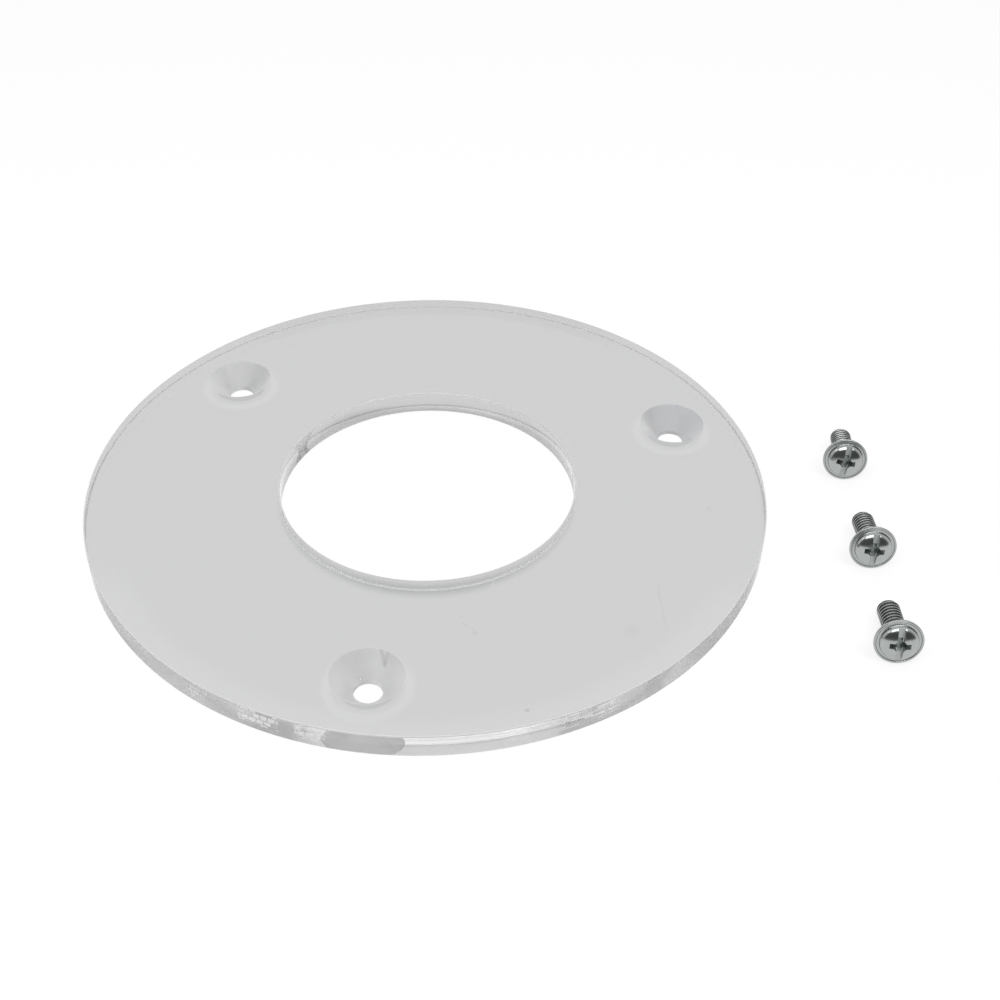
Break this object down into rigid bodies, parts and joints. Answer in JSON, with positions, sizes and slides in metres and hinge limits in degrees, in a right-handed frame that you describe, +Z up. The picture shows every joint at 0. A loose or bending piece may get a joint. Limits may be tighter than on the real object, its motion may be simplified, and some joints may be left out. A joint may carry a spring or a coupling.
{
  "type": "router sub base",
  "caption": "Round clear plastic router sub base with a large centre opening and countersunk screw holes, sole up, with its loose washer-head screws beside it.",
  "frame": {"origin": "middle of the whole laid-out set, plate and screws, on the surface that it lies on", "axes": "+Z up, out of the plate's countersunk sole; +X from the plate towards the row of loose screws; +Y the way the screws' tips point"},
  "size_m": [0.1784, 0.1524, 0.01],
  "materials": {
    "clear_plastic": "clear, polished faces, frosted countersinks",
    "zinc_plated_steel": "bright zinc plate"
  },
  "bodies": {
    "plate": {"sub_base_plate": "clear_plastic"},
    "rear_screw": {"screw_rear": "zinc_plated_steel"},
    "middle_screw": {"screw_middle": "zinc_plated_steel"},
    "front_screw": {"screw_front": "zinc_plated_steel"}
  },
  "joints": [
    {"name": "rear_screw_lift", "type": "slide", "parent": "plate", "child": "rear_screw", "axis": [0, 0, 1], "range_m": [0, 0.03]},
    {"name": "middle_screw_lift", "type": "slide", "parent": "plate", "child": "middle_screw", "axis": [0, 0, 1], "range_m": [0, 0.03]},
    {"name": "front_screw_lift", "type": "slide", "parent": "plate", "child": "front_screw", "axis": [0, 0, 1], "range_m": [0, 0.03]}
  ]
}
